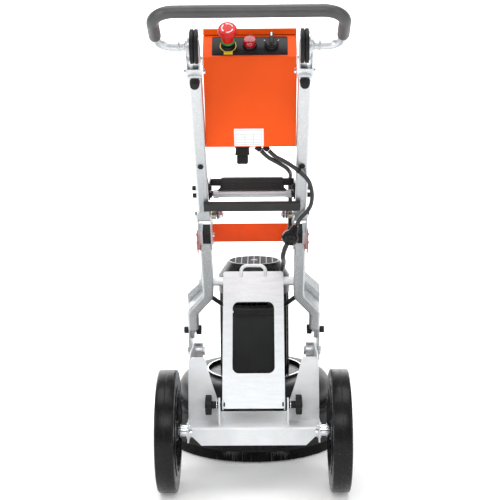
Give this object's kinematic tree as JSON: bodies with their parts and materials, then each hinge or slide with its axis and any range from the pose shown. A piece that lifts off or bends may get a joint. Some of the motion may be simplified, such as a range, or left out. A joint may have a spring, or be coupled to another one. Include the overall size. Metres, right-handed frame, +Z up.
{
  "type": "concrete grinder",
  "caption": "Walk-behind single-disc floor grinder with a folding handle, control box, tilting rear plate, floating dust skirt and a vertical motor over a round hood.",
  "frame": {"origin": "middle of the footprint at floor level", "axes": "+Z up, +X to the operator's right, +Y the way the machine is pushed; the operator stands at -Y"},
  "size_m": [0.49, 1.0759, 1.1499],
  "materials": {
    "zinc": "satin galvanised",
    "bright": "polished",
    "orange": "satin powder coat",
    "grey_paint": "semi-gloss",
    "black_paint": "satin",
    "black_plastic": "moulded texture",
    "grip_plastic": "soft",
    "rubber": "matte",
    "tyre": "matte",
    "foam": "foam",
    "brass": "satin",
    "red_button": "moulded",
    "red_lens": "clear tinted",
    "iron": "machined",
    "aluminium": "cast",
    "steel": "satin",
    "segment": "sintered",
    "laminations": "oiled"
  },
  "bodies": {
    "frame": {"lower_tube_l": "zinc", "lower_tube_r": "zinc", "end_blocks": "black_plastic", "cross_tube": "zinc", "fold_brackets": "zinc", "torsion_springs": "brass", "link_band": "orange", "side_arm_l": "zinc", "side_arm_r": "zinc", "bushes": "rubber", "motor_struts": "zinc", "chassis": "zinc", "axle": "steel", "hood": "grey_paint", "hood_collar": "bright", "dust_port": "zinc", "motor_body": "aluminium", "stator": "laminations", "motor_bearings": "steel", "fan_cover": "grey_paint", "terminal_box": "black_plastic", "terminal_cover": "black_plastic", "motor_lead": "rubber", "lead_coupling": "black_plastic", "frame_fasteners": "steel"},
    "handle": {"upper_tube_l": "zinc", "upper_tube_r": "zinc", "grip_frame": "black_paint", "fold_grip": "grip_plastic", "control_box": "orange", "box_lid": "orange", "panel_plate": "black_plastic", "panel_collars": "black_plastic", "pilot_light": "red_lens", "box_fittings": "black_plastic", "knuckles_fixed": "black_plastic", "handle_fasteners": "black_paint", "lead_a": "rubber", "lead_b": "rubber"},
    "handlebar": {"handlebar_tube": "zinc", "foam_grip": "foam", "knuckles_moving": "black_plastic"},
    "estop": {"estop_button": "red_button"},
    "selector": {"selector_knob": "black_plastic"},
    "clamp_left": {"clamp_knob_l": "black_plastic"},
    "clamp_right": {"clamp_knob_r": "black_plastic"},
    "latch": {"latch_lever": "black_plastic"},
    "plate": {"rear_plate": "zinc"},
    "plate_knob_left": {"plate_knob_l": "black_plastic"},
    "plate_knob_right": {"plate_knob_r": "black_plastic"},
    "wheel_left": {"tyre_l": "tyre", "rim_l": "grey_paint"},
    "wheel_right": {"tyre_r": "tyre", "rim_r": "grey_paint"},
    "rotor": {"rotor_shaft": "steel", "cooling_fan": "black_plastic", "grinding_disc": "iron", "tool_segments": "segment"},
    "skirt": {"skirt_shell": "black_paint", "skirt_brush": "black_plastic"}
  },
  "joints": [
    {"name": "handle_fold", "type": "hinge", "parent": "frame", "child": "handle", "pos_m": [0, -0.068, 0.675], "axis": [1, 0, 0], "range_deg": [-100, 0], "deforming": ["lead_a", "lead_b"]},
    {"name": "handlebar_tilt", "type": "hinge", "parent": "handle", "child": "handlebar", "pos_m": [0, -0.40096, 1.07181], "axis": [1, 0, 0], "range_deg": [-60, 60]},
    {"name": "estop_press", "type": "slide", "parent": "handle", "child": "estop", "axis": [0, 0.7776, -0.6287], "range_m": [0, 0.005], "stiffness_N_per_m": 800, "springref_m": -0.003},
    {"name": "selector_turn", "type": "hinge", "parent": "handle", "child": "selector", "pos_m": [0.047, -0.31, 1.0735], "axis": [0, -0.7776, 0.6287], "range_deg": [-45, 45]},
    {"name": "clamp_left_turn", "type": "hinge", "parent": "handle", "child": "clamp_left", "pos_m": [-0.117, -0.36895, 1.00208], "axis": [0, -0.766, -0.6428], "continuous": true},
    {"name": "clamp_right_turn", "type": "hinge", "parent": "handle", "child": "clamp_right", "pos_m": [0.117, -0.36895, 1.00208], "axis": [0, -0.766, -0.6428], "continuous": true},
    {"name": "latch_pull", "type": "hinge", "parent": "frame", "child": "latch", "pos_m": [0, -0.068, 0.675], "axis": [1, 0, 0], "range_deg": [0, 20], "stiffness_Nm_per_rad": 6, "springref_deg": -20.05},
    {"name": "plate_tilt", "type": "hinge", "parent": "frame", "child": "plate", "pos_m": [0, -0.124, 0.212], "axis": [1, 0, 0], "range_deg": [0, 80]},
    {"name": "plate_knob_left_turn", "type": "hinge", "parent": "frame", "child": "plate_knob_left", "pos_m": [0, -0.124, 0.212], "axis": [1, 0, 0], "continuous": true},
    {"name": "plate_knob_right_turn", "type": "hinge", "parent": "frame", "child": "plate_knob_right", "pos_m": [0, -0.124, 0.212], "axis": [1, 0, 0], "continuous": true},
    {"name": "wheel_left_roll", "type": "hinge", "parent": "frame", "child": "wheel_left", "pos_m": [0, -0.134, 0.15], "axis": [1, 0, 0], "continuous": true},
    {"name": "wheel_right_roll", "type": "hinge", "parent": "frame", "child": "wheel_right", "pos_m": [0, -0.134, 0.15], "axis": [1, 0, 0], "continuous": true},
    {"name": "rotor_spin", "type": "hinge", "parent": "frame", "child": "rotor", "pos_m": [0, 0.293, 0.3], "axis": [0, 0, 1], "continuous": true},
    {"name": "skirt_float", "type": "slide", "parent": "frame", "child": "skirt", "axis": [0, 0, 1], "range_m": [0, 0.012]}
  ]
}
